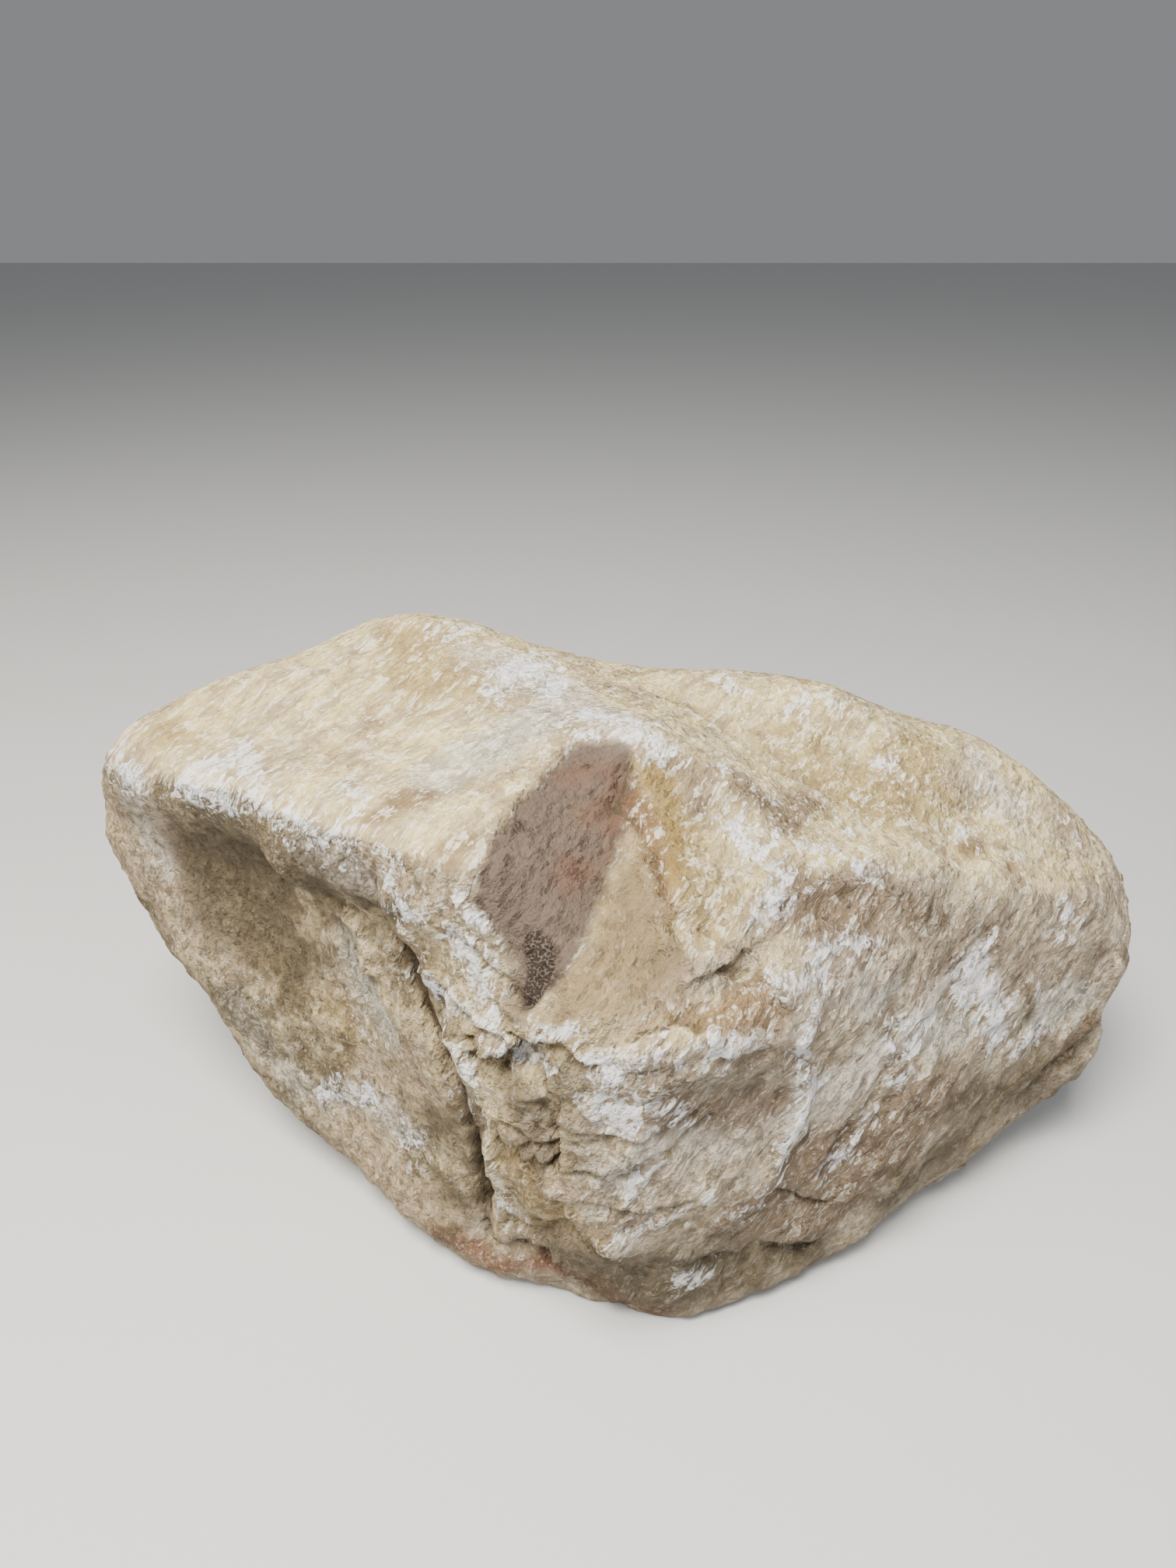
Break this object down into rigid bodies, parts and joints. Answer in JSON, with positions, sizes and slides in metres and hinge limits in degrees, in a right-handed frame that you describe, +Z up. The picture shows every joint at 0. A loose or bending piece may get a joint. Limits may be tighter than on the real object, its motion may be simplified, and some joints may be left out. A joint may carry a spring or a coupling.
{
  "type": "honeycomb calcite boulder",
  "caption": "Rough natural boulder of fibrous honeycomb calcite with a broad worn top, a broken dish and a long crack, lying on its flat underside.",
  "frame": {"origin": "on the ground, under the centre of the boulder's box", "axes": "+Z up; +X along the boulder's length, toward its low rounded end; +Y from its steep broken front to its back"},
  "size_m": [0.7336, 0.419, 0.3725],
  "materials": {
    "calcite": "rough broken and weathered stone, tan with white frosting and yellow stain"
  },
  "bodies": {
    "root": {"calcite_boulder": "calcite"}
  },
  "joints": []
}
